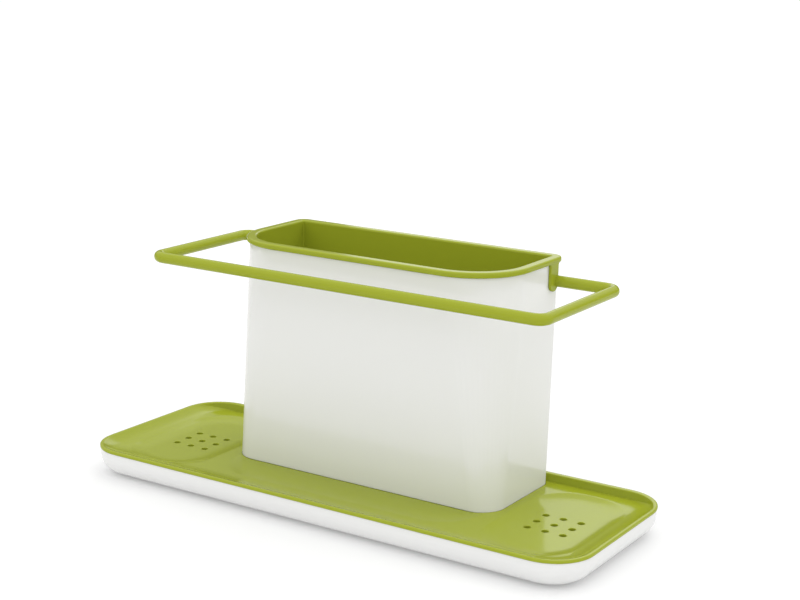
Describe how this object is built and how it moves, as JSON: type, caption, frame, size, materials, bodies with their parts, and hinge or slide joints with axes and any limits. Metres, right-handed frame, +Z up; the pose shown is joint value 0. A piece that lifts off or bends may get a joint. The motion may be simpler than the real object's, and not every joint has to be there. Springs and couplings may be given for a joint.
{
  "type": "sink caddy",
  "caption": "Sink caddy: a long low drip tray with a lift-out drainer, an upright open container set towards its back, and a rim frame with a round-bar rail that loops round the front and ends for a dishcloth.",
  "frame": {"origin": "on the table, under the middle of the tray: the centre of the footprint at the feet's underside", "axes": "+X along the tray to the right as the user faces it, +Y from the user's side to the back, +Z up"},
  "size_m": [0.335, 0.125, 0.15],
  "materials": {
    "white_plastic": "satin gloss",
    "green_plastic": "satin gloss",
    "foot_rubber": "matte"
  },
  "bodies": {
    "base": {"base_tray": "white_plastic", "foot_front_left": "foot_rubber", "foot_back_left": "foot_rubber", "foot_front_right": "foot_rubber", "foot_back_right": "foot_rubber"},
    "drainer": {"drainer_tray": "green_plastic"},
    "container": {"container": "white_plastic"},
    "frame": {"rim_frame": "green_plastic", "cloth_rail": "green_plastic"}
  },
  "joints": [
    {"name": "drainer_lift", "type": "slide", "parent": "base", "child": "drainer", "axis": [0, 0, 1], "range_m": [0, 0.08]},
    {"name": "container_lift", "type": "slide", "parent": "drainer", "child": "container", "axis": [0, 0, 1], "range_m": [0, 0.08]},
    {"name": "frame_lift", "type": "slide", "parent": "container", "child": "frame", "axis": [0, 0, 1], "range_m": [0, 0.08]}
  ]
}
